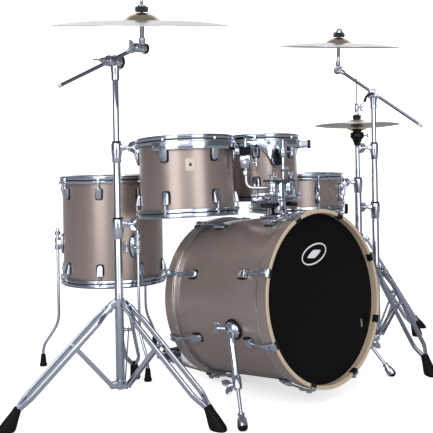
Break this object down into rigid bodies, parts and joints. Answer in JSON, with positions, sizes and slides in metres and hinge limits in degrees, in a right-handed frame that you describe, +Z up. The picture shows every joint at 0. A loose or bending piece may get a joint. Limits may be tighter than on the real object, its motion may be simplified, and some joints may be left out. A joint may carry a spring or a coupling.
{
  "type": "drum kit",
  "caption": "Acoustic drum kit with bass drum, rack toms, floor tom, snare, hi-hat and boom cymbal stands; stands telescope, booms tilt, pedals swing, spurs fold.",
  "frame": {"origin": "on the floor, under the middle of the kit's bounding box", "axes": "+X to the right seen from the audience, +Y from the audience towards the drummer's seat, +Z up"},
  "size_m": [1.9086, 1.1113, 1.2336],
  "materials": {
    "shell_wrap": "glossy champagne-brown wrap on plywood",
    "chrome": "polished plate",
    "front_head_black": "black film",
    "head_white": "coated white film",
    "cymbal_bronze": "pale turned bronze",
    "pedal_black": "black powder coat",
    "pedal_plate": "cast and polished"
  },
  "bodies": {
    "kit": {"bass_drum_shell": "shell_wrap", "bass_drum_front_hoop": "shell_wrap", "bass_drum_batter_hoop": "shell_wrap", "bass_drum_front_head": "front_head_black", "bass_drum_batter_head": "head_white", "tom_holder": "chrome", "floor_tom_shell": "shell_wrap", "floor_tom_top_hoop": "chrome", "floor_tom_bottom_hoop": "chrome", "floor_tom_top_head": "head_white", "floor_tom_bottom_head": "head_white", "snare_stand_base": "chrome", "left_stand_base": "chrome", "right_stand_base": "chrome", "hihat_stand_base": "chrome", "bass_pedal_frame": "chrome"},
    "spur_left": {"spur_left": "chrome"},
    "spur_right": {"spur_right": "chrome"},
    "floor_tom_leg_1": {"floor_tom_leg_1": "chrome"},
    "floor_tom_leg_2": {"floor_tom_leg_2": "chrome"},
    "floor_tom_leg_3": {"floor_tom_leg_3": "chrome"},
    "tom_1_arm": {"tom_1_arm": "chrome"},
    "tom_1": {"tom_1_shell": "shell_wrap", "tom_1_top_hoop": "chrome", "tom_1_bottom_hoop": "chrome", "tom_1_top_head": "head_white", "tom_1_bottom_head": "head_white", "tom_1_suspension_mount": "chrome"},
    "tom_2_arm": {"tom_2_arm": "chrome"},
    "tom_2": {"tom_2_shell": "shell_wrap", "tom_2_top_hoop": "chrome", "tom_2_bottom_hoop": "chrome", "tom_2_top_head": "head_white", "tom_2_bottom_head": "head_white", "tom_2_suspension_mount": "chrome"},
    "snare_stand_tube": {"snare_stand_tube": "chrome"},
    "snare": {"snare_basket": "chrome", "snare_drum_shell": "shell_wrap", "snare_drum_top_hoop": "chrome", "snare_drum_bottom_hoop": "chrome", "snare_drum_top_head": "head_white", "snare_drum_bottom_head": "head_white"},
    "snare_throw_off": {"snare_throw_off_lever": "chrome"},
    "left_stand_middle": {"left_stand_middle_tube": "chrome"},
    "left_stand_top": {"left_stand_top_tube": "chrome"},
    "left_boom": {"left_boom_arm": "chrome"},
    "left_post": {"left_cymbal_post": "chrome"},
    "left_cymbal": {"left_cymbal": "cymbal_bronze"},
    "right_stand_middle": {"right_stand_middle_tube": "chrome"},
    "right_stand_top": {"right_stand_top_tube": "chrome"},
    "right_boom": {"right_boom_arm": "chrome"},
    "right_post": {"right_cymbal_post": "chrome"},
    "right_cymbal": {"right_cymbal": "cymbal_bronze"},
    "hihat_upper": {"hihat_upper_tube": "chrome", "hihat_bottom_cymbal": "cymbal_bronze"},
    "hihat_pull": {"hihat_pull_rod": "chrome", "hihat_top_cymbal": "cymbal_bronze"},
    "hihat_pedal": {"hihat_footboard": "pedal_plate"},
    "bass_pedal_board": {"bass_pedal_footboard": "pedal_black"},
    "bass_pedal_beater": {"bass_pedal_beater": "chrome"}
  },
  "joints": [
    {"name": "spur_left_fold", "type": "hinge", "parent": "kit", "child": "spur_left", "pos_m": [-0.3789, -0.30084, 0.23068], "axis": [-0.9703, -0.0237, -0.2408], "range_deg": [0, 60]},
    {"name": "spur_right_fold", "type": "hinge", "parent": "kit", "child": "spur_right", "pos_m": [0.1439, -0.30084, 0.23068], "axis": [-0.9703, 0.0237, 0.2408], "range_deg": [0, 60]},
    {"name": "floor_tom_leg_1_slide", "type": "slide", "parent": "kit", "child": "floor_tom_leg_1", "axis": [0, 0, 1], "range_m": [-0.05, 0.1]},
    {"name": "floor_tom_leg_2_slide", "type": "slide", "parent": "kit", "child": "floor_tom_leg_2", "axis": [0, 0, 1], "range_m": [-0.05, 0.1]},
    {"name": "floor_tom_leg_3_slide", "type": "slide", "parent": "kit", "child": "floor_tom_leg_3", "axis": [0, 0, 1], "range_m": [-0.05, 0.1]},
    {"name": "tom_1_arm_turn", "type": "hinge", "parent": "kit", "child": "tom_1_arm", "pos_m": [-0.1335, -0.2657, 0.64], "axis": [-0.5039, 0.8638, 0], "range_deg": [-8, 2.5]},
    {"name": "tom_1_height", "type": "slide", "parent": "tom_1_arm", "child": "tom_1", "axis": [0, 0, 1], "range_m": [-0.008, 0.03]},
    {"name": "tom_2_arm_turn", "type": "hinge", "parent": "kit", "child": "tom_2_arm", "pos_m": [-0.1015, -0.2657, 0.615], "axis": [0.7604, 0.6495, 0], "range_deg": [-8, 8]},
    {"name": "tom_2_height", "type": "slide", "parent": "tom_2_arm", "child": "tom_2", "axis": [0, 0, 1], "range_m": [-0.02, 0.03]},
    {"name": "snare_stand_height", "type": "slide", "parent": "kit", "child": "snare_stand_tube", "axis": [0, 0, 1], "range_m": [-0.03, 0.08]},
    {"name": "snare_basket_tilt", "type": "hinge", "parent": "snare_stand_tube", "child": "snare", "pos_m": [0.3795, 0.0973, 0.452], "axis": [1, 0, 0], "range_deg": [-12, 12]},
    {"name": "snare_throw_off_turn", "type": "hinge", "parent": "snare", "child": "snare_throw_off", "pos_m": [0.51747, -0.03594, 0.5705], "axis": [0.6947, 0.7193, 0], "range_deg": [0, 95]},
    {"name": "left_stand_height", "type": "slide", "parent": "kit", "child": "left_stand_middle", "axis": [0, 0, 1], "range_m": [-0.1, 0.1]},
    {"name": "left_stand_extension", "type": "slide", "parent": "left_stand_middle", "child": "left_stand_top", "axis": [0, 0, 1], "range_m": [-0.08, 0.1]},
    {"name": "left_boom_tilt", "type": "hinge", "parent": "left_stand_top", "child": "left_boom", "pos_m": [-0.62446, -0.07099, 1.023], "axis": [-0.9977, -0.0677, 0], "range_deg": [-18, 18]},
    {"name": "left_cymbal_tilt", "type": "hinge", "parent": "left_boom", "child": "left_post", "pos_m": [-0.59732, -0.19029, 1.04712], "axis": [-0.9977, -0.0677, 0], "range_deg": [-15, 15]},
    {"name": "left_cymbal_rock", "type": "hinge", "parent": "left_post", "child": "left_cymbal", "pos_m": [-0.60792, -0.20418, 1.13847], "axis": [-0.9977, -0.0677, 0], "range_deg": [-4, 4], "stiffness_Nm_per_rad": 20},
    {"name": "right_stand_height", "type": "slide", "parent": "kit", "child": "right_stand_middle", "axis": [0, 0, 1], "range_m": [-0.1, 0.1]},
    {"name": "right_stand_extension", "type": "slide", "parent": "right_stand_middle", "child": "right_stand_top", "axis": [0, 0, 1], "range_m": [-0.08, 0.1]},
    {"name": "right_boom_tilt", "type": "hinge", "parent": "right_stand_top", "child": "right_boom", "pos_m": [0.44725, -0.23726, 0.972], "axis": [-0.7502, -0.6613, 0], "range_deg": [-18, 18]},
    {"name": "right_cymbal_tilt", "type": "hinge", "parent": "right_boom", "child": "right_post", "pos_m": [0.37548, -0.12711, 1.06595], "axis": [-0.7502, -0.6613, 0], "range_deg": [-15, 15]},
    {"name": "right_cymbal_rock", "type": "hinge", "parent": "right_post", "child": "right_cymbal", "pos_m": [0.36604, -0.14144, 1.17966], "axis": [-0.7502, -0.6613, 0], "range_deg": [-4, 4], "stiffness_Nm_per_rad": 20},
    {"name": "hihat_height", "type": "slide", "parent": "kit", "child": "hihat_upper", "axis": [0, 0, 1], "range_m": [-0.08, 0.08]},
    {"name": "hihat_pull", "type": "slide", "parent": "hihat_upper", "child": "hihat_pull", "axis": [0, 0, 1], "range_m": [0, 0.04]},
    {"name": "hihat_pedal_turn", "type": "hinge", "parent": "kit", "child": "hihat_pedal", "pos_m": [0.52881, 0.30007, 0.024], "axis": [-0.8192, -0.5736, 0], "range_deg": [0, 8]},
    {"name": "bass_pedal_press", "type": "hinge", "parent": "kit", "child": "bass_pedal_board", "pos_m": [-0.1175, 0.2843, 0.03], "axis": [1, 0, 0], "range_deg": [0, 9], "stiffness_Nm_per_rad": 9, "springref_deg": -20.05},
    {"name": "bass_pedal_beat", "type": "hinge", "parent": "kit", "child": "bass_pedal_beater", "pos_m": [-0.1175, 0.0333, 0.17], "axis": [1, 0, 0], "range_deg": [0, 34]}
  ],
  "couplings": [
    {"joint": "hihat_pull", "follows": "hihat_pedal_turn", "m_per_rad": 0.27},
    {"joint": "bass_pedal_beat", "follows": "bass_pedal_press", "ratio": 3.55}
  ]
}
